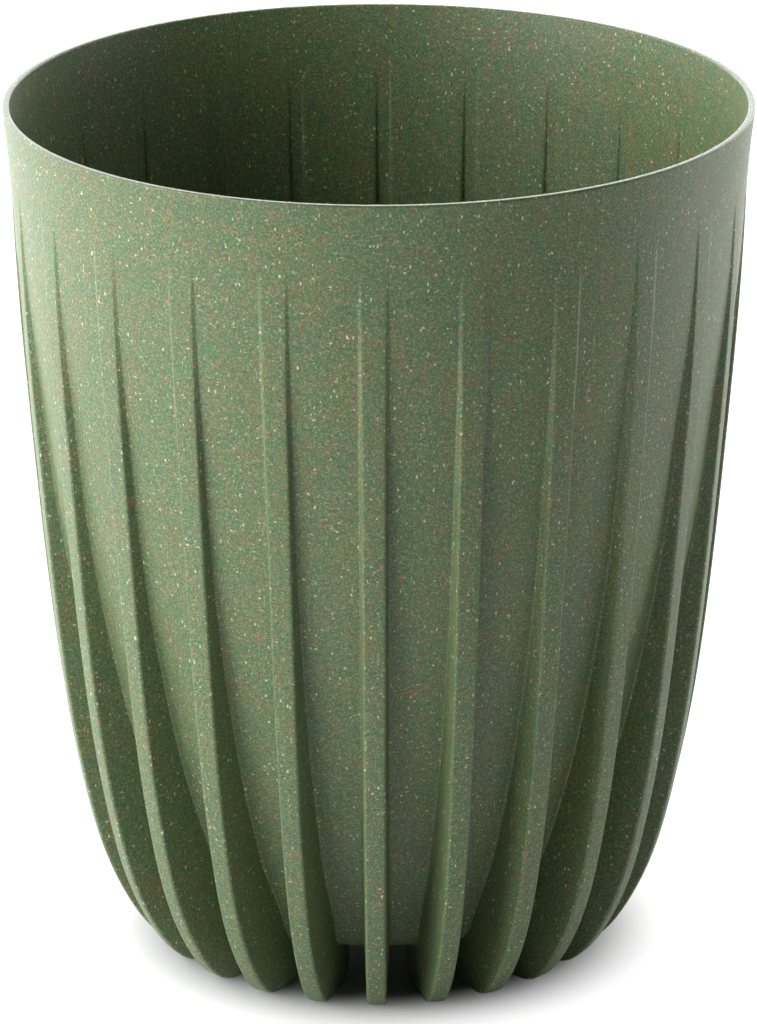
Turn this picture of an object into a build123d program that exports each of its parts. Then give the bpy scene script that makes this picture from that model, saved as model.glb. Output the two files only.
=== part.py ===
from build123d import *
import math
import os

# Round flower bucket: one thin moulded wall, folded outwards into a ring of
# hollow ribs. A plain band runs round the top; below it the ribs keep to a
# smooth tulip-shaped outline while the staves between them draw in, and the
# ribs end as feet that carry the raised floor.
# Millimetres. +Z is up, the origin is at the centre of the feet's ground plane.

# ---------------------------------------------------------------- dimensions
RIM_R = 95.0          # outer radius of the rim
HEIGHT = 225.0        # ground to the top of the rim
WALL = 1.9            # wall thickness
RIB_WALL = 1.6        # thickness of the ribs' two side walls
SLAB_R = 100.0        # outer limit of the slabs that cut the ribs out
RIM_DEPTH = 4.0       # depth of the rim land
BAND_Z = 208.0        # underside of the plain band, where the ribs start
RIB_COUNT = 24
RIB_C = 4.75          # rib half-width = RIB_C + RIB_KZ * z - RIB_KR * r
RIB_KZ = 0.0065       # ribs widen slightly upwards
RIB_KR = 0.030        # and narrow outwards (mould draft)
FLOOR_Z = 12.0        # underside of the raised floor
FLOOR_EDGE_R = 46.0   # edge of the flat floor, where the staves turn up
FOOT_IN_R = 38.0      # inner end of each foot
RIM_EDGE_R = 0.55     # rounding of the rim's two edges

# Outline of the ribs' outer faces, radius as a share of RIM_R and height as a
# share of HEIGHT, from the ground up.
RIB_OUTLINE = [
    (0.5837, 0.0000), (0.6100, 0.0028), (0.6396, 0.0110), (0.6970, 0.0413),
    (0.7451, 0.0796), (0.7797, 0.1172), (0.8257, 0.1923), (0.8623, 0.2767),
    (0.8924, 0.3741), (0.9168, 0.4791), (0.9374, 0.5850), (0.9566, 0.6921),
    (0.9695, 0.7800), (0.9768, 0.8500), (0.9794, 0.8850), (0.9824, 0.9244),
    (0.9884, 0.9580), (1.0000, 1.0000),
]
# Outline of the staves between the ribs: it leaves the rib outline at the
# underside of the band and draws in towards the floor.
STAVE_OUTLINE = [
    (0.5240, 0.0600), (0.5823, 0.1000), (0.6440, 0.1500), (0.6939, 0.2000),
    (0.7719, 0.3000), (0.8293, 0.4000), (0.8759, 0.5000), (0.9101, 0.6000),
    (0.9363, 0.7000), (0.9502, 0.7500), (0.9622, 0.8000), (0.9712, 0.8500),
    (0.9776, 0.9000),
]


def full_size(outline):
    return [(r * RIM_R, z * HEIGHT) for r, z in outline]


def inset(points, distance, first=None, last=None):
    """The outline moved inwards by distance, square to its own direction."""
    moved = []
    for i, (r, z) in enumerate(points):
        r0, z0 = points[max(i - 1, 0)]
        r1, z1 = points[min(i + 1, len(points) - 1)]
        dr, dz = r1 - r0, z1 - z0
        if i == 0 and first is not None:
            dr, dz = first
        if i == len(points) - 1 and last is not None:
            dr, dz = last
        size = math.hypot(dr, dz)
        moved.append((r - distance * dz / size, z + distance * dr / size))
    return moved


RIB_POINTS = full_size(RIB_OUTLINE)
TOP_POINTS = [p for p in RIB_POINTS if p[1] >= BAND_Z - 0.1]
BODY_POINTS = (
    [(FLOOR_EDGE_R, FLOOR_Z), (48.2, 12.75)] + full_size(STAVE_OUTLINE) + TOP_POINTS
)
RIB_INNER = inset(RIB_POINTS, WALL, first=(1, 0))
BODY_INNER = inset(BODY_POINTS, WALL, first=(1, 0))
INSIDE_FLOOR_Z = FLOOR_Z + WALL


# ------------------------------------------------------- shapes to work from
# The whole body of revolution: floor, staves' surface and band, one wall thick.
with BuildPart() as body_shell:
    with BuildSketch(Plane.XZ):
        with BuildLine():
            outer = Spline(BODY_POINTS)
            Line(outer @ 1, (BODY_INNER[-1][0], HEIGHT))
            inner = Spline([BODY_INNER[-1][:1] + (HEIGHT,)] + BODY_INNER[-2::-1])
            Line(inner @ 1, (0, INSIDE_FLOOR_Z))
            Line((0, INSIDE_FLOOR_Z), (0, FLOOR_Z))
            Line((0, FLOOR_Z), outer @ 0)
        make_face()
    revolve(axis=Axis.Z)

# The space inside that wall.
with BuildPart() as body_core:
    with BuildSketch(Plane.XZ):
        with BuildLine():
            core_side = Spline([BODY_INNER[-1][:1] + (HEIGHT,)] + BODY_INNER[-2::-1])
            Line(core_side @ 1, (0, INSIDE_FLOOR_Z))
            Line((0, INSIDE_FLOOR_Z), (0, HEIGHT))
            Line((0, HEIGHT), core_side @ 0)
        make_face()
    revolve(axis=Axis.Z)

# Everything inside the ribs' outline.
with BuildPart() as rib_envelope:
    with BuildSketch(Plane.XZ):
        with BuildLine():
            rib_side = Spline(RIB_POINTS)
            Line(rib_side @ 1, (0, HEIGHT))
            Line((0, HEIGHT), (0, 0))
            Line((0, 0), rib_side @ 0)
        make_face()
    revolve(axis=Axis.Z)

# The same, one wall further in: the far end of the hollow in each rib.
with BuildPart() as hollow_envelope:
    with BuildSketch(Plane.XZ):
        with BuildLine():
            hollow_side = Spline(RIB_INNER[:-1] + [(RIB_INNER[-1][0], HEIGHT)])
            Line(hollow_side @ 1, (0, HEIGHT))
            Line((0, HEIGHT), (0, WALL))
            Line((0, WALL), hollow_side @ 0)
        make_face()
    revolve(axis=Axis.Z)


def slab(r0, z0, z1, less=0.0):
    """A block at -Y, from radius r0 out, whose plane sides give half-width
    RIB_C + RIB_KZ * z - RIB_KR * r - less."""
    with BuildPart() as block:
        with Locations((0, -(r0 + SLAB_R) / 2, (z0 + z1) / 2)):
            Box(24, SLAB_R - r0, z1 - z0)
        for side in (1, -1):
            split(
                bisect_by=Plane(
                    origin=(side * (RIB_C - less), 0, 0), z_dir=(side, -RIB_KR, -RIB_KZ)
                ),
                keep=Keep.BOTTOM,
            )
    return block.part


# The slab that one rib takes up, with its draft, and the slab of the hollow in it.
RIB_SLAB = slab(FOOT_IN_R, -5.0, BAND_Z)
HOLLOW_SLAB = slab(FOOT_IN_R + WALL, -5.0, BAND_Z + 5.0, RIB_WALL)

# The hollow itself: open to the inside of the bucket.
with BuildPart() as hollow_one:
    add(HOLLOW_SLAB)
    add(hollow_envelope.part, mode=Mode.INTERSECT)

# One whole rib with its foot: a folded wall, open on the inside.
with BuildPart() as rib_one:
    add(RIB_SLAB)
    add(rib_envelope.part, mode=Mode.INTERSECT)
    add(body_core.part, mode=Mode.SUBTRACT)
    add(hollow_one.part, mode=Mode.SUBTRACT)

# --------------------------------------------------------------------- rim
with BuildPart() as rim:
    add(body_shell.part)
    split(bisect_by=Plane.XY.offset(HEIGHT - RIM_DEPTH), keep=Keep.TOP)
    fillet(rim.edges().group_by(Axis.Z)[-1], RIM_EDGE_R)

# -------------------------------------------------------------- upper band
with BuildPart() as upper_band:
    add(body_shell.part)
    split(bisect_by=Plane.XY.offset(HEIGHT - RIM_DEPTH), keep=Keep.BOTTOM)
    split(bisect_by=Plane.XY.offset(BAND_Z), keep=Keep.TOP)

# ------------------------------------------------------------ floor plate
# A plain disc inside the ring of feet; the staves' lower ends run in to meet it.
with BuildPart() as floor_plate:
    with BuildSketch(Plane.XY.offset(FLOOR_Z)):
        Circle(FOOT_IN_R)
    extrude(amount=WALL)

# ------------------------------------------------------------------ staves
with BuildPart() as stave_ring:
    add(body_shell.part)
    split(bisect_by=Plane.XY.offset(BAND_Z), keep=Keep.BOTTOM)
    with BuildSketch(Plane.XY.offset(FLOOR_Z - 1)):
        Circle(FOOT_IN_R)
    extrude(amount=WALL + 2, mode=Mode.SUBTRACT)

with BuildPart() as stave_one:
    with BuildSketch(Plane.XY):
        with BuildLine():
            Polyline(
                (0, 0),
                (130 * math.sin(math.pi / RIB_COUNT * 2), -130 * math.cos(math.pi / RIB_COUNT * 2)),
                (0, -130),
                close=True,
            )
        make_face()
    extrude(amount=BAND_Z)
    add(stave_ring.part, mode=Mode.INTERSECT)
    with PolarLocations(0, RIB_COUNT):
        add(RIB_SLAB, mode=Mode.SUBTRACT)

with BuildPart() as wall_staves:
    with PolarLocations(0, RIB_COUNT):
        add(stave_one.part)

# -------------------------------------------------------------------- ribs
with BuildPart() as rib_upper:
    add(rib_one.part)
    split(bisect_by=Plane.XY.offset(FLOOR_Z), keep=Keep.TOP)

with BuildPart() as ribs:
    with PolarLocations(0, RIB_COUNT):
        add(rib_upper.part)

# -------------------------------------------------------------------- feet
with BuildPart() as foot_one:
    add(rib_one.part)
    split(bisect_by=Plane.XY.offset(FLOOR_Z), keep=Keep.BOTTOM)

with BuildPart() as feet:
    with PolarLocations(0, RIB_COUNT):
        add(foot_one.part)

# ------------------------------------------------------------------ export
os.makedirs("parts", exist_ok=True)
for name, piece in (
    ("rim", rim),
    ("upper_band", upper_band),
    ("wall_staves", wall_staves),
    ("ribs", ribs),
    ("feet", feet),
    ("floor_plate", floor_plate),
):
    piece.part.label = name
    export_step(piece.part, "parts/" + name + ".step")
    print(name, len(piece.part.solids()), round(piece.part.volume, 1))
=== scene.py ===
import math

import bpy
import numpy as np
from mathutils import Matrix, Vector


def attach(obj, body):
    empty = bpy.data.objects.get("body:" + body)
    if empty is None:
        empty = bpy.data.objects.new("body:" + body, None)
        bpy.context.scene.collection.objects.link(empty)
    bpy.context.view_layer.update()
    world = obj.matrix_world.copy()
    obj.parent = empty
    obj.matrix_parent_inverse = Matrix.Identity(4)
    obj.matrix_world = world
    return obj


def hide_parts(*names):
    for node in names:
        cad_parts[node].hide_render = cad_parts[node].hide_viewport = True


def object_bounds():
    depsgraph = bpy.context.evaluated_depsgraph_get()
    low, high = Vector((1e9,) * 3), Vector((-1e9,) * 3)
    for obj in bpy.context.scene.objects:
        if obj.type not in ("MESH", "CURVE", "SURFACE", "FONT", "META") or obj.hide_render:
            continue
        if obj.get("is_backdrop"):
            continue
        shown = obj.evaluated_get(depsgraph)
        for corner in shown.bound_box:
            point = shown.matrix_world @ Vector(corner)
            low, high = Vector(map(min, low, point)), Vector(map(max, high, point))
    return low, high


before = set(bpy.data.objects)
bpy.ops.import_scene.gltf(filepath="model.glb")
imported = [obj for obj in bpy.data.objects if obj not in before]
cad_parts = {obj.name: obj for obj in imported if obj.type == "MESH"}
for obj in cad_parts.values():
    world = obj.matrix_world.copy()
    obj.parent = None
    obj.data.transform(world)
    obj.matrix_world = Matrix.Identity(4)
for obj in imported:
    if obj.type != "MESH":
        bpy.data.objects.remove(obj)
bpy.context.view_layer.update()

# ------------------------------------------------------------------ sizes, mm
RIM_R, HEIGHT, WALL = 95.0, 225.0, 1.9
BAND_Z, RIM_DEPTH = 208.0, 4.0
FLOOR_Z, FLOOR_EDGE_R, FOOT_IN_R = 12.0, 46.0, 38.0
INSIDE_Z = FLOOR_Z + WALL
RIBS = 24
SECTOR = 2 * math.pi / RIBS
DISC_R = 36.0

RIB_OUTLINE = [
    (0.5837, 0.0000), (0.6100, 0.0028), (0.6396, 0.0110), (0.6970, 0.0413),
    (0.7451, 0.0796), (0.7797, 0.1172), (0.8257, 0.1923), (0.8623, 0.2767),
    (0.8924, 0.3741), (0.9168, 0.4791), (0.9374, 0.5850), (0.9566, 0.6921),
    (0.9695, 0.7800), (0.9768, 0.8500), (0.9794, 0.8850), (0.9824, 0.9244),
    (0.9884, 0.9580), (1.0000, 1.0000),
]
STAVE_OUTLINE = [
    (0.5240, 0.0600), (0.5823, 0.1000), (0.6440, 0.1500), (0.6939, 0.2000),
    (0.7719, 0.3000), (0.8293, 0.4000), (0.8759, 0.5000), (0.9101, 0.6000),
    (0.9363, 0.7000), (0.9502, 0.7500), (0.9622, 0.8000), (0.9712, 0.8500),
    (0.9776, 0.9000),
]


# ---------------------------------------------------------------- plane curves
def natural_spline(points, per_span=40):
    """A smooth curve through the points, as a dense polyline."""
    p = np.array(points, float)
    t = np.concatenate([[0], np.cumsum(np.linalg.norm(np.diff(p, axis=0), axis=1))])
    n, h = len(p), np.diff(t)
    a = np.zeros((n, n))
    rhs = np.zeros((n, 2))
    a[0, 0] = a[-1, -1] = 1.0
    for i in range(1, n - 1):
        a[i, i - 1], a[i, i], a[i, i + 1] = h[i - 1], 2 * (h[i - 1] + h[i]), h[i]
        rhs[i] = 6 * ((p[i + 1] - p[i]) / h[i] - (p[i] - p[i - 1]) / h[i - 1])
    m = np.linalg.solve(a, rhs)
    out = []
    for i in range(n - 1):
        for s in np.linspace(0, 1, per_span, endpoint=False):
            x = s * h[i]
            b = (p[i + 1] - p[i]) / h[i] - h[i] * (2 * m[i] + m[i + 1]) / 6
            out.append(p[i] + b * x + m[i] * x * x / 2 + (m[i + 1] - m[i]) * x ** 3 / (6 * h[i]))
    out.append(p[-1])
    return np.array(out)


def inset(line, distance):
    """The polyline moved square to itself, to its inner side."""
    d = np.gradient(line, axis=0)
    d /= np.linalg.norm(d, axis=1)[:, None]
    return line + distance * np.stack([-d[:, 1], d[:, 0]], 1)


def at_heights(line, z):
    """Points of a rising polyline at the given heights."""
    keep = np.concatenate([[True], np.diff(np.maximum.accumulate(line[:, 1])) > 1e-9])
    q = line[keep]
    return np.stack([np.interp(z, q[:, 1], q[:, 0]), np.asarray(z, float)], 1)


def share(line, n, first=False):
    """n + 1 points evenly spread along a polyline (n of them without the first)."""
    t = np.concatenate([[0], np.cumsum(np.linalg.norm(np.diff(line, axis=0), axis=1))])
    s = np.linspace(0, t[-1], n + 1)[0 if first else 1:]
    return np.stack([np.interp(s, t, line[:, 0]), np.interp(s, t, line[:, 1])], 1)


def arc(cx, cz, r, a0, a1, n=24):
    a = np.radians(np.linspace(a0, a1, n + 1))
    return np.stack([cx + r * np.cos(a), cz + r * np.sin(a)], 1)


def stretch(line, z_top, z_low):
    """The part of a rising polyline from z_top down to z_low."""
    z = line[:, 1]
    inner = line[(z < z_top - 1e-6) & (z > z_low + 1e-6)][::-1]
    return np.concatenate([at_heights(line, [z_top]), inner, at_heights(line, [z_low])])


rib_out = natural_spline([(r * RIM_R, z * HEIGHT) for r, z in RIB_OUTLINE])
body_out = natural_spline(
    [(FLOOR_EDGE_R, FLOOR_Z), (48.2, 12.75)] + [(r * RIM_R, z * HEIGHT) for r, z in STAVE_OUTLINE]
    + [(r * RIM_R, z * HEIGHT) for r, z in RIB_OUTLINE if z * HEIGHT > BAND_Z - 0.1]
)
rib_in, body_in = inset(rib_out, WALL), inset(body_out, WALL)
rib_in = rib_in[rib_in[:, 1] > 1.95]

Z_A_RIB, Z_A_BODY = 20.0, 25.0
N_A, N_B, N_C, N_D, N_E, N_F, N_G = 58, 15, 6, 5, 3, 5, 1


def chain(parts):
    """Rows from the band down: each part is (polyline, rows)."""
    rows = [share(parts[0][0], parts[0][1], first=True)]
    rows += [share(line, n) for line, n in parts[1:]]
    return np.concatenate(rows)


def line(*points):
    return np.array(points, float)


rib_rows_out = chain([
    (stretch(rib_out, BAND_Z, Z_A_RIB), N_A),
    (np.concatenate([stretch(rib_out, Z_A_RIB, 0.02), line((rib_out[0, 0], 0.0))]), N_B),
    (line((rib_out[0, 0], 0), (FOOT_IN_R + 2.2, 0)), N_C),
    (arc(FOOT_IN_R + 2.2, 2.2, 2.2, 270, 180), N_D),
    (line((FOOT_IN_R, 2.2), (FOOT_IN_R, FLOOR_Z - 1.2)), N_E),
    (arc(FOOT_IN_R - 1.2, FLOOR_Z - 1.2, 1.2, 0, 90), N_F),
    (line((FOOT_IN_R - 1.2, FLOOR_Z), (DISC_R, FLOOR_Z)), N_G),
])
body_rows_out = chain([
    (stretch(body_out, BAND_Z, Z_A_BODY), N_A),
    (stretch(body_out, Z_A_BODY, FLOOR_Z), N_B),
    (line((FLOOR_EDGE_R, FLOOR_Z), (41.0, FLOOR_Z)), N_C),
    (line((41.0, FLOOR_Z), (39.4, FLOOR_Z)), N_D),
    (line((39.4, FLOOR_Z), (38.4, FLOOR_Z)), N_E),
    (line((38.4, FLOOR_Z), (FOOT_IN_R - 1.2, FLOOR_Z)), N_F),
    (line((FOOT_IN_R - 1.2, FLOOR_Z), (DISC_R, FLOOR_Z)), N_G),
])
foot_in = FOOT_IN_R + WALL
rib_rows_in = chain([
    (stretch(rib_in, BAND_Z, Z_A_RIB), N_A),
    (np.concatenate([stretch(rib_in, Z_A_RIB, 2.0), line((rib_out[0, 0] - 0.6, WALL))]), N_B),
    (line((rib_out[0, 0] - 0.6, WALL), (foot_in + 1.6, WALL)), N_C),
    (arc(foot_in + 1.6, WALL + 1.6, 1.6, 270, 180), N_D),
    (line((foot_in, WALL + 1.6), (foot_in, INSIDE_Z - 1.0)), N_E),
    (arc(foot_in - 1.0, INSIDE_Z - 1.0, 1.0, 0, 90), N_F),
    (line((foot_in - 1.0, INSIDE_Z), (DISC_R, INSIDE_Z)), N_G),
])
body_rows_in = chain([
    (stretch(body_in, BAND_Z, Z_A_BODY), N_A),
    (stretch(body_in, Z_A_BODY, INSIDE_Z), N_B),
    (line((FLOOR_EDGE_R, INSIDE_Z), (42.4, INSIDE_Z)), N_C),
    (line((42.4, INSIDE_Z), (41.4, INSIDE_Z)), N_D),
    (line((41.4, INSIDE_Z), (40.4, INSIDE_Z)), N_E),
    (line((40.4, INSIDE_Z), (foot_in - 1.0, INSIDE_Z)), N_F),
    (line((foot_in - 1.0, INSIDE_Z), (DISC_R, INSIDE_Z)), N_G),
])
# the inside floor's edge starts where the inner wall's curve reaches it
body_rows_in[N_A + N_B] = (FLOOR_EDGE_R, INSIDE_Z)

# ----------------------------------------------------- section across one rib
N_TIP, N_EDGE, N_SIDE, N_ROOT, N_PANEL = 2, 4, 3, 3, 5
HALF = N_TIP + N_EDGE + N_SIDE + N_ROOT + N_PANEL
RIB_COLS = N_TIP + N_EDGE + N_SIDE + N_ROOT
COLS = 2 * HALF * RIBS


def section(depth, top, foot_w, edge, root, spread, lean):
    """Half a section, from the middle of the rib to the middle of the stave.
    Gives (width, share of the depth) for the rib's points; top is the half-width
    of its face, edge and root the radii, spread and lean the side's slope."""
    ev, rv = min(edge, 0.45 * depth), min(root, 0.40 * depth)
    low = top + spread + lean * depth
    w, d = [], []
    for i in range(N_TIP):
        w.append((top - edge) * i / N_TIP)
        d.append(depth)
    for i in range(N_EDGE):
        a = math.pi / 2 * i / N_EDGE
        w.append(top - edge + edge * math.sin(a))
        d.append(depth - ev + ev * math.cos(a))
    for i in range(N_SIDE):
        s = i / N_SIDE
        w.append(top + (low - top) * s)
        d.append(depth - ev + (rv - depth + ev) * s)
    for i in range(N_ROOT + 1):
        a = math.pi / 2 * i / N_ROOT
        w.append(low + root - root * math.cos(a))
        d.append(rv - rv * math.sin(a))
    return np.array(w), np.array(d) / max(depth, 1e-9)


def ring(rib_pt, body_pt, outside):
    """One closed row of points, COLS long, starting at the middle of rib 0."""
    depth = float(np.hypot(*(rib_pt - body_pt)))
    face = 2.475 + 0.875 * rib_pt[1] / HEIGHT
    if outside:
        w, d = section(depth, face, 0, 0.75, 0.55, 0.25, 0.030)
    else:
        w, d = section(depth, face - 1.45, 0, 0.55, 1.15, 0.15, 0.020)
    p = body_pt + (rib_pt - body_pt) * np.clip(d, 0, 1)[:, None]
    if depth < 1e-6:
        p = np.repeat(body_pt[None], len(w), 0)
    ang = w / p[:, 0]
    start = (face + 0.25 + 0.030 * depth + 0.55) / body_pt[0] if not outside else ang[-1]
    if not outside:
        # the stave's edge is at the same angle on both faces of the wall
        mouth = ang[-1]
        k = N_PANEL
        pan = [mouth + (SECTOR / 2 - mouth) * i / k for i in range(1, k + 1)]
    else:
        pan = [start + (SECTOR / 2 - start) * i / N_PANEL for i in range(1, N_PANEL + 1)]
    ang = np.concatenate([ang, pan])
    r = np.concatenate([p[:, 0], np.full(N_PANEL, body_pt[0])])
    z = np.concatenate([p[:, 1], np.full(N_PANEL, body_pt[1])])
    # half section: index 0 is the rib's middle, HALF the stave's middle
    full_a = np.concatenate([ang[:-1], [ang[-1]], (SECTOR - ang[1:-1])[::-1]])
    full_r = np.concatenate([r[:-1], [r[-1]], r[1:-1][::-1]])
    full_z = np.concatenate([z[:-1], [z[-1]], z[1:-1][::-1]])
    a = np.concatenate([full_a + SECTOR * k for k in range(RIBS)])
    r, z = np.tile(full_r, RIBS), np.tile(full_z, RIBS)
    return np.stack([r * np.sin(a), -r * np.cos(a), z], 1)


def plain_ring(r, z, outside):
    pt = np.array([r, z], float)
    return ring(pt, pt, outside)


# Rows of the whole wall, from the underside of the floor up the outside, over the
# rim and down the inside to the floor's upper face. Each row has a name.
rows, tags = [], []


def add_row(points, tag):
    rows.append(points)
    tags.append(tag)


n_rows = len(rib_rows_out)
names = (["a"] * (N_A + 1) + ["b"] * N_B + ["c"] * N_C + ["d"] * N_D + ["e"] * N_E + ["f"] * N_F + ["g"] * N_G)
for i in reversed(range(n_rows)):
    add_row(ring(rib_rows_out[i], body_rows_out[i], True), ("out", i))
z_rim = HEIGHT - RIM_DEPTH
band_z = np.linspace(BAND_Z, z_rim, 9)[1:]
for p in at_heights(body_out, band_z):
    add_row(plain_ring(p[0], p[1], True), ("band_out", p[1]))
ROUND = 0.6
top_out, top_in = at_heights(body_out, [HEIGHT])[0][0], at_heights(body_out, [HEIGHT])[0][0] - WALL
side = at_heights(body_out, [z_rim + 1.2, z_rim + 2.4, HEIGHT - ROUND])
for p in side:
    add_row(plain_ring(p[0], p[1], True), ("rim", 0))
inward = side[-1][0]
for k in range(1, 7):
    a = math.pi / 2 * k / 6
    add_row(plain_ring(inward - ROUND + ROUND * math.cos(a), HEIGHT - ROUND + ROUND * math.sin(a), True), ("rim", 1))
in_side = at_heights(body_in, [HEIGHT - ROUND, z_rim + 2.4, z_rim + 1.2, z_rim])
if in_side[0][0] > top_in + 0.5:
    in_side[0][0] = top_in
for k in range(0, 6):
    a = math.pi / 2 * (1 - k / 6)
    add_row(plain_ring(in_side[0][0] + ROUND - ROUND * math.cos(a), HEIGHT - ROUND + ROUND * math.sin(a), k < 3), ("rim", 2))
for p in in_side:
    add_row(plain_ring(p[0], p[1], False), ("rim", 3) if p[1] > z_rim + 0.01 else ("band_in", p[1]))
for p in at_heights(body_in, band_z[:-1][::-1]):
    add_row(plain_ring(p[0], p[1], False), ("band_in", p[1]))
for i in range(n_rows):
    add_row(ring(rib_rows_in[i], body_rows_in[i], False), ("in", i))

V = np.concatenate(rows) / 1000.0
R = len(rows)


def vid(row, col):
    return row * COLS + col % COLS


# The two faces of the floor's disc: rings with fewer and fewer points.
extra = []
disc_faces = {"out": [], "in": []}


def disc(edge_row, z, key, up):
    base = len(V) + sum(len(e) for e in extra)
    edge = np.array([vid(edge_row, c) for c in range(COLS)])
    ang = np.arctan2(V[edge, 0], -V[edge, 1])
    ang = np.unwrap(ang)
    for radius in (34.5, 32.0, 27.0, 18.0):
        n = len(edge) // 2
        even = ang[::2]
        ang_new = 0.35 * even + 0.65 * (even[0] + np.arange(n) * 2 * math.pi / n)
        pts = np.stack([radius * np.sin(ang_new), -radius * np.cos(ang_new), np.full(n, z)], 1) / 1000.0
        extra.append(pts)
        idx = base + np.arange(n)
        base += n
        m = len(edge)
        for k in range(n):
            a, b, c = edge[2 * k], edge[2 * k + 1], edge[(2 * k + 2) % m]
            i0, i1 = idx[k], idx[(k + 1) % n]
            for tri in ((a, b, i0), (b, i1, i0), (b, c, i1)):
                disc_faces[key].append(tri if up else tri[::-1])
        edge, ang = idx, ang_new
    extra.append(np.array([[0, 0, z / 1000.0]]))
    for k in range(len(edge)):
        tri = (edge[k], edge[(k + 1) % len(edge)], base)
        disc_faces[key].append(tri if up else tri[::-1])


disc(R - 1, INSIDE_Z, "in", True)
disc(0, FLOOR_Z, "out", False)
V = np.concatenate([V] + extra)

# ------------------------------------------------------- faces and their pieces
def owner(row, col):
    """The piece that the quad between row and row + 1, and col and col + 1, is in."""
    t0, t1 = tags[row], tags[row + 1]
    c = col % (2 * HALF)
    rib = c < RIB_COLS or c >= 2 * HALF - RIB_COLS
    kinds = {t0[0], t1[0]}
    if kinds <= {"out"} or kinds <= {"in"}:
        i = min(t0[1], t1[1])           # rows count from the band down
        if rib:
            return "ribs" if i < N_A else "feet"
        return "wall_staves"
    if "rim" in kinds:
        return "rim"
    return "upper_band"


quads, who = [], []
cols = np.arange(COLS)
col_owner = {}
for row in range(R - 1):
    o = [owner(row, c) for c in range(2 * HALF)] * RIBS
    a, b = row * COLS + cols, row * COLS + (cols + 1) % COLS
    quads.append(np.stack([a, b, b + COLS, a + COLS], 1))
    who += o
quads = np.concatenate(quads)
who = np.array(who)

# vertex normals of the whole skin, so that pieces shade as one surface
N = np.zeros_like(V)
fn = np.cross(V[quads[:, 2]] - V[quads[:, 0]], V[quads[:, 3]] - V[quads[:, 1]])
for k in range(4):
    np.add.at(N, quads[:, k], fn)
for key in ("in", "out"):
    t = np.array(disc_faces[key])
    tn = np.cross(V[t[:, 1]] - V[t[:, 0]], V[t[:, 2]] - V[t[:, 0]])
    for k in range(3):
        np.add.at(N, t[:, k], tn)
size = np.linalg.norm(N, axis=1)
N /= np.maximum(size, 1e-30)[:, None]

first_out = {}
for r, t in enumerate(tags):
    first_out[t if t[0] in ("out", "in") else (t[0], round(t[1], 3), r)] = r
ROW_OUT = {i: first_out[("out", i)] for i in range(n_rows)}
ROW_IN = {i: first_out[("in", i)] for i in range(n_rows)}
row_rim_out = next(r for r, t in enumerate(tags) if t[0] == "band_out" and abs(t[1] - z_rim) < 1e-6)
row_rim_in = next(r for r, t in enumerate(tags) if t[0] == "band_in" and abs(t[1] - z_rim) < 1e-6)


def strip_across(ro, ri, c0, c1):
    """Contact face between the outer row ro and the inner row ri, facing down."""
    c = np.arange(c0, c1)
    return np.stack([vid(ro, c), vid(ro, c + 1), vid(ri, c + 1), vid(ri, c)], 1)


def strip_down(col, i0, i1):
    """Contact face along one column, from row i0 to i1 counted from the band."""
    i = np.arange(i0, i1)
    o0, o1 = np.array([ROW_OUT[k] for k in i]), np.array([ROW_OUT[k + 1] for k in i])
    n0, n1 = np.array([ROW_IN[k] for k in i]), np.array([ROW_IN[k + 1] for k in i])
    return np.stack([vid(o0, col), vid(o1, col), vid(n1, col), vid(n0, col)], 1)


contact = {k: [] for k in ("rim", "upper_band", "wall_staves", "ribs", "feet", "floor_plate")}
last = n_rows - 1
contact["rim"].append(strip_across(row_rim_out, row_rim_in, 0, COLS))
contact["upper_band"].append(strip_across(row_rim_out, row_rim_in, 0, COLS)[:, ::-1])
contact["upper_band"].append(strip_across(ROW_OUT[0], ROW_IN[0], 0, COLS))
for k in range(RIBS):
    mid = 2 * HALF * k
    lo, hi = mid - RIB_COLS, mid + RIB_COLS            # a rib's columns
    nxt = mid + 2 * HALF - RIB_COLS                    # the next rib's first
    contact["ribs"].append(strip_across(ROW_OUT[0], ROW_IN[0], lo, hi)[:, ::-1])
    contact["ribs"].append(strip_across(ROW_OUT[N_A], ROW_IN[N_A], lo, hi))
    contact["feet"].append(strip_across(ROW_OUT[N_A], ROW_IN[N_A], lo, hi)[:, ::-1])
    contact["feet"].append(strip_across(ROW_OUT[last], ROW_IN[last], lo, hi))
    contact["floor_plate"].append(strip_across(ROW_OUT[last], ROW_IN[last], lo, hi)[:, ::-1])
    contact["wall_staves"].append(strip_across(ROW_OUT[0], ROW_IN[0], hi, nxt)[:, ::-1])
    contact["wall_staves"].append(strip_across(ROW_OUT[last], ROW_IN[last], hi, nxt))
    contact["floor_plate"].append(strip_across(ROW_OUT[last], ROW_IN[last], hi, nxt)[:, ::-1])
    for name, i0, i1 in (("ribs", 0, N_A), ("feet", N_A, last)):
        contact[name].append(strip_down(hi, i0, i1))
        contact[name].append(strip_down(lo, i0, i1)[:, ::-1])
    contact["wall_staves"].append(strip_down(hi, 0, last)[:, ::-1])
    contact["wall_staves"].append(strip_down(nxt, 0, last))


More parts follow.
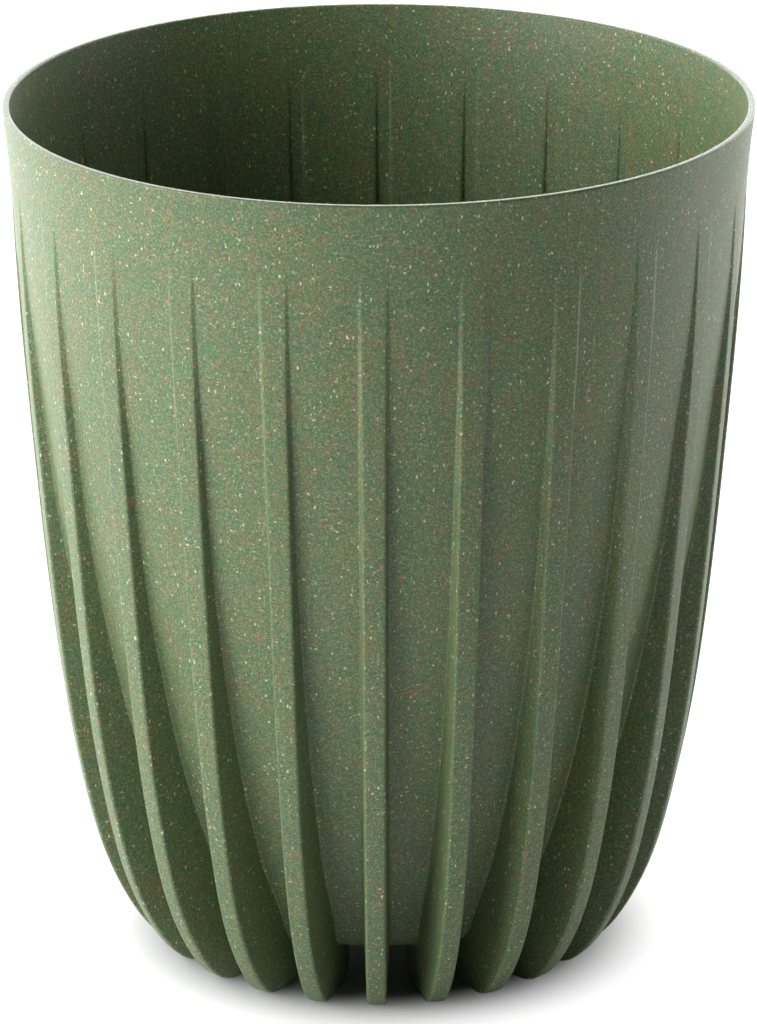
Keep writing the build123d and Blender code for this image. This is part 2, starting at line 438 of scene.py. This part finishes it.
def make_piece(name, node):
    skin = [tuple(q) for q in quads[who == node]]
    if node == "floor_plate":
        skin += disc_faces["in"] + disc_faces["out"]
    hidden = [tuple(q) for q in np.concatenate(contact[node])]
    faces = skin + hidden
    used = np.unique(np.concatenate([np.array(f) for f in faces]))
    new = {int(v): i for i, v in enumerate(used)}
    mesh = bpy.data.meshes.new(name)
    mesh.from_pydata(V[used].tolist(), [], [[new[int(v)] for v in f] for f in faces])
    normals = []
    for f in skin:
        normals += [N[v] for v in f]
    for f in hidden:
        q = V[list(f)]
        n = np.cross(q[2] - q[0], q[3] - q[1])
        s = np.linalg.norm(n)
        n = n / s if s > 1e-30 else np.array([0.0, 0.0, 1.0])
        normals += [n] * len(f)
    mesh.polygons.foreach_set("use_smooth", [True] * len(skin) + [False] * len(hidden))
    # the edges where the skin meets a contact face are sharp
    pair = {}
    for i, f in enumerate(mesh.polygons):
        for e in f.edge_keys:
            pair.setdefault(e, []).append(i < len(skin))
    sharp = [len(set(pair[tuple(sorted(e.vertices))])) > 1 for e in mesh.edges]
    attribute = mesh.attributes.new("sharp_edge", "BOOLEAN", "EDGE")
    attribute.data.foreach_set("value", sharp)
    mesh.update()
    mesh.normals_split_custom_set([tuple(map(float, n)) for n in normals])
    ob = bpy.data.objects.new(name, mesh)
    bpy.context.scene.collection.objects.link(ob)
    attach(ob, "root")
    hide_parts(node)
    return ob


pieces = {
    node: make_piece(node + "_skin", node)
    for node in ("rim", "upper_band", "wall_staves", "ribs", "feet", "floor_plate")
}


# ------------------------------------------------------------------- material
def linear(rgb):
    out = []
    for c in rgb:
        c = c / 255.0
        out.append(c / 12.92 if c <= 0.04045 else ((c + 0.055) / 1.055) ** 2.4)
    return (*out, 1.0)


class Nodes:
    def __init__(self, material):
        self.tree = material.node_tree
        self.tree.nodes.clear()

    def new(self, kind, **values):
        n = self.tree.nodes.new(kind)
        for k, v in values.items():
            setattr(n, k, v)
        return n

    def link(self, a, b):
        self.tree.links.new(a, b)

    def math(self, op, a, b=None, c=None, clamp=False):
        n = self.new("ShaderNodeMath", operation=op, use_clamp=clamp)
        for i, x in enumerate((a, b, c)):
            if x is None:
                continue
            if isinstance(x, (int, float)):
                n.inputs[i].default_value = x
            else:
                self.link(x, n.inputs[i])
        return n.outputs[0]

    def ramp(self, value, low, high, to_low=0.0, to_high=1.0):
        n = self.new("ShaderNodeMapRange", interpolation_type="SMOOTHSTEP")
        self.link(value, n.inputs["Value"])
        for key, v in (("From Min", low), ("From Max", high), ("To Min", to_low), ("To Max", to_high)):
            n.inputs[key].default_value = v
        return n.outputs["Result"]

    def mix(self, fac, a, b):
        n = self.new("ShaderNodeMix", data_type="RGBA")
        if isinstance(fac, (int, float)):
            n.inputs["Factor"].default_value = fac
        else:
            self.link(fac, n.inputs["Factor"])
        for key, x in (("A", a), ("B", b)):
            sock = next(s for s in n.inputs if s.name == key and s.type == "RGBA")
            if isinstance(x, tuple):
                sock.default_value = x
            else:
                self.link(x, sock)
        return next(s for s in n.outputs if s.type == "RGBA")

    def noise(self, vector, scale, detail=2.0, rough=0.5, distortion=0.0):
        n = self.new("ShaderNodeTexNoise", noise_dimensions="3D")
        self.link(vector, n.inputs["Vector"])
        n.inputs["Scale"].default_value = scale
        n.inputs["Detail"].default_value = detail
        n.inputs["Roughness"].default_value = rough
        n.inputs["Distortion"].default_value = distortion
        return n

    def warp(self, vector, scale, amount, stretch=(1, 1, 1), offset=(0, 0, 0)):
        """vector moved by a noise, then scaled."""
        n = self.noise(vector, scale, 1.0)
        sub = self.new("ShaderNodeVectorMath", operation="SUBTRACT")
        self.link(n.outputs["Color"], sub.inputs[0])
        sub.inputs[1].default_value = (0.5, 0.5, 0.5)
        mad = self.new("ShaderNodeVectorMath", operation="MULTIPLY_ADD")
        self.link(sub.outputs[0], mad.inputs[0])
        mad.inputs[1].default_value = (amount,) * 3
        self.link(vector, mad.inputs[2])
        mp = self.new("ShaderNodeMapping")
        self.link(mad.outputs[0], mp.inputs["Vector"])
        mp.inputs["Scale"].default_value = stretch
        mp.inputs["Location"].default_value = offset
        return mp.outputs[0]

    def flecks(self, vector, scale, size, soft, share_on, offset):
        """(mask, random number) of scattered flecks."""
        v = self.new("ShaderNodeTexVoronoi", voronoi_dimensions="3D", feature="F1", distance="EUCLIDEAN")
        self.link(vector, v.inputs["Vector"])
        v.inputs["Scale"].default_value = scale
        v.inputs["Randomness"].default_value = 1.0
        sep = self.new("ShaderNodeSeparateColor")
        self.link(v.outputs["Color"], sep.inputs[0])
        here = self.math("LESS_THAN", sep.outputs[0], share_on)
        grow = self.math("MULTIPLY_ADD", sep.outputs[1], size * 0.7, size * 0.55)
        d = self.math("DIVIDE", v.outputs["Distance"], grow)
        near = self.ramp(d, 1.0 - soft, 1.0, 1.0, 0.0)
        return self.math("MULTIPLY", near, here), sep.outputs[2]


def composite():
    m = bpy.data.materials.new("fleck_composite")
    m.use_nodes = True
    k = Nodes(m)
    out = k.new("ShaderNodeOutputMaterial")
    bsdf = k.new("ShaderNodeBsdfPrincipled")
    k.link(bsdf.outputs[0], out.inputs["Surface"])
    where = k.new("ShaderNodeTexCoord").outputs["Object"]

    # the resin: sage green, faintly clouded with tan, rust and grey
    cloud = k.noise(where, 260.0, 3.0, 0.60, 0.4).outputs["Fac"]
    cloud2 = k.noise(where, 70.0, 2.0, 0.5).outputs["Fac"]
    mixed = k.math("ADD", k.math("MULTIPLY", cloud, 0.70), k.math("MULTIPLY", cloud2, 0.30))
    colour = k.mix(k.ramp(mixed, 0.42, 0.62), linear((76, 105, 70)), linear((94, 102, 66)))
    far = k.warp(where, 90.0, 0.004, (1.0, 1.0, 1.0), (0.61, 0.23, 0.47))
    cloud3 = k.noise(far, 330.0, 2.0, 0.55, 0.3).outputs["Fac"]
    colour = k.mix(k.ramp(cloud3, 0.56, 0.72, 0.0, 0.28), colour, linear((120, 92, 70)))
    colour = k.mix(k.ramp(cloud3, 0.42, 0.30, 0.0, 0.40), colour, linear((82, 98, 82)))
    # fine husk dust
    dust = k.noise(where, 1900.0, 2.0, 0.65).outputs["Fac"]
    colour = k.mix(k.ramp(dust, 0.50, 0.68, 0.0, 0.56), colour, linear((150, 148, 110)))
    colour = k.mix(k.ramp(dust, 0.48, 0.30, 0.0, 0.60), colour, linear((44, 62, 40)))

    # short husk flecks, lying both ways
    w1 = k.warp(where, 1100.0, 0.0008, (1.0, 1.0, 0.48))
    w2 = k.warp(where, 700.0, 0.0014, (0.62, 0.62, 1.0), (0.37, 0.11, 0.53))
    w3 = k.warp(where, 500.0, 0.0022, (1.0, 1.0, 0.55), (0.71, 0.29, 0.17))
    w4 = k.warp(where, 900.0, 0.0010, (0.58, 0.58, 1.0), (0.19, 0.83, 0.29))

    brown, tone3 = k.flecks(w3, 620.0, 0.40, 0.6, 0.24, 0)
    colour = k.mix(k.math("MULTIPLY", brown, 0.38), colour, linear((136, 102, 76)))
    rust, tone2 = k.flecks(w2, 1000.0, 0.34, 0.5, 0.13, 0)
    colour = k.mix(k.math("MULTIPLY", rust, 0.62), colour, linear((172, 112, 84)))
    across, tone4 = k.flecks(w4, 1250.0, 0.33, 0.5, 0.18, 0)
    tan = k.mix(tone4, linear((150, 140, 104)), linear((206, 190, 152)))
    colour = k.mix(k.math("MULTIPLY", across, k.ramp(tone4, 0.0, 1.0, 0.25, 0.85)), colour, tan)
    cream, tone1 = k.flecks(w1, 1250.0, 0.33, 0.5, 0.22, 0)
    pale = k.mix(tone1, linear((152, 158, 120)), linear((212, 208, 174)))
    colour = k.mix(k.math("MULTIPLY", cream, k.ramp(tone1, 0.0, 1.0, 0.25, 0.85)), colour, pale)
    k.link(colour, bsdf.inputs["Base Color"])

    # satin, a little duller where the filler comes to the surface
    rough = k.math("MULTIPLY_ADD", cream, 0.10, 0.43)
    rough = k.math("MULTIPLY_ADD", cloud, 0.10, rough)
    k.link(rough, bsdf.inputs["Roughness"])
    bsdf.inputs["IOR"].default_value = 1.47
    bsdf.inputs["Specular IOR Level"].default_value = 0.5

    # flecks stand a few hundredths proud, and the skin has a faint orange peel
    peel = k.noise(where, 420.0, 2.0, 0.5).outputs["Fac"]
    height = k.math("MULTIPLY_ADD", cream, 0.5, k.math("MULTIPLY", peel, 0.6))
    height = k.math("MULTIPLY_ADD", dust, 0.35, height)
    bump = k.new("ShaderNodeBump")
    bump.inputs["Strength"].default_value = 0.35
    bump.inputs["Distance"].default_value = 0.00012
    k.link(height, bump.inputs["Height"])
    k.link(bump.outputs[0], bsdf.inputs["Normal"])
    return m


skin_material = composite()
for ob in pieces.values():
    ob.data.materials.append(skin_material)

# ---------------------------------------------------------------------- stage
def sheet(name, z, albedo):
    bpy.ops.mesh.primitive_plane_add(size=8.0, location=(0, 0, z))
    ob = bpy.context.object
    ob.name = name
    m = bpy.data.materials.new(name + "_paper")
    m.use_nodes = True
    b = m.node_tree.nodes["Principled BSDF"]
    b.inputs["Base Color"].default_value = (albedo, albedo, albedo, 1)
    b.inputs["Roughness"].default_value = 0.9
    b.inputs["Specular IOR Level"].default_value = 0.1
    ob.data.materials.append(m)
    ob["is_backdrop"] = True
    return ob, m.node_tree, b


# the white floor that is seen: it glows evenly, less and less towards the footprint
floor, tree, paper = sheet("floor_sheet", 0.0, 0.35)
paper.inputs["Emission Color"].default_value = (1, 1, 1, 1)
spot = tree.nodes.new("ShaderNodeTexCoord")
far = tree.nodes.new("ShaderNodeVectorMath")
far.operation = "LENGTH"
glow = tree.nodes.new("ShaderNodeMapRange")
glow.interpolation_type = "SMOOTHSTEP"
for key, v in (("From Min", 0.050), ("From Max", 0.078), ("To Min", 0.0), ("To Max", 0.80)):
    glow.inputs[key].default_value = v
tree.links.new(spot.outputs["Object"], far.inputs[0])
tree.links.new(far.outputs["Value"], glow.inputs["Value"])
tree.links.new(glow.outputs["Result"], paper.inputs["Emission Strength"])
floor.visible_diffuse = floor.visible_glossy = floor.visible_shadow = False

# a sheet just under it sends the lamps' light back up to the object
bounce, _, _ = sheet("bounce_sheet", -0.0004, 0.86)
bounce.visible_camera = False


def area(name, at, target, size, size_y, power, colour=(1, 1, 1)):
    data = bpy.data.lights.new(name, "AREA")
    data.shape = "RECTANGLE"
    data.size, data.size_y = size, size_y
    data.energy = power
    data.color = colour
    ob = bpy.data.objects.new(name, data)
    bpy.context.scene.collection.objects.link(ob)
    ob.location = at
    ob.rotation_euler = (Vector(target) - Vector(at)).to_track_quat("-Z", "Y").to_euler()
    return ob


area("key_left", (-1.05, -0.22, 0.62), (0, 0, 0.11), 0.9, 1.1, 16.0)
area("left_front", (-0.95, -0.80, 0.60), (0, 0, 0.11), 0.8, 0.9, 11.6)
area("left_back", (-0.85, 0.55, 0.40), (0, 0, 0.12), 0.5, 0.9, 8.6)
area("back_panel", (0.1, 1.35, 0.55), (0, 0, 0.15), 2.4, 1.1, 54.0)
area("strip_right", (0.80, 0.20, 0.35), (0, 0, 0.13), 0.14, 0.8, 3.4)

world = bpy.data.worlds.new("studio")
world.use_nodes = True
bg = world.node_tree.nodes["Background"]
bg.inputs["Color"].default_value = (1.0, 1.0, 1.0, 1)
bg.inputs["Strength"].default_value = 0.03
bpy.context.scene.world = world
bpy.context.scene.view_settings.view_transform = "Standard"
bpy.context.scene.view_settings.look = "None"

# --------------------------------------------------------------------- camera
TURN = math.radians(0.8)
cam_data = bpy.data.cameras.new("camera")
cam_data.sensor_width = 36.0
cam_data.lens = 5328.6 / 1024.0 * 36.0
cam_data.shift_x = -0.7 / 1024.0
cam_data.clip_start, cam_data.clip_end = 0.05, 50.0
cam = bpy.data.objects.new("camera", cam_data)
bpy.context.scene.collection.objects.link(cam)
cam.location = (1.29808 * math.sin(TURN), -1.29808 * math.cos(TURN), 0.586625)
aim = Matrix.Rotation(TURN, 3, "Z") @ Matrix.Rotation(math.radians(90 - 20.01), 3, "X")
cam.rotation_euler = (aim @ Matrix.Rotation(math.radians(-0.07), 3, "Z")).to_euler()
bpy.context.scene.camera = cam

lo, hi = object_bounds()
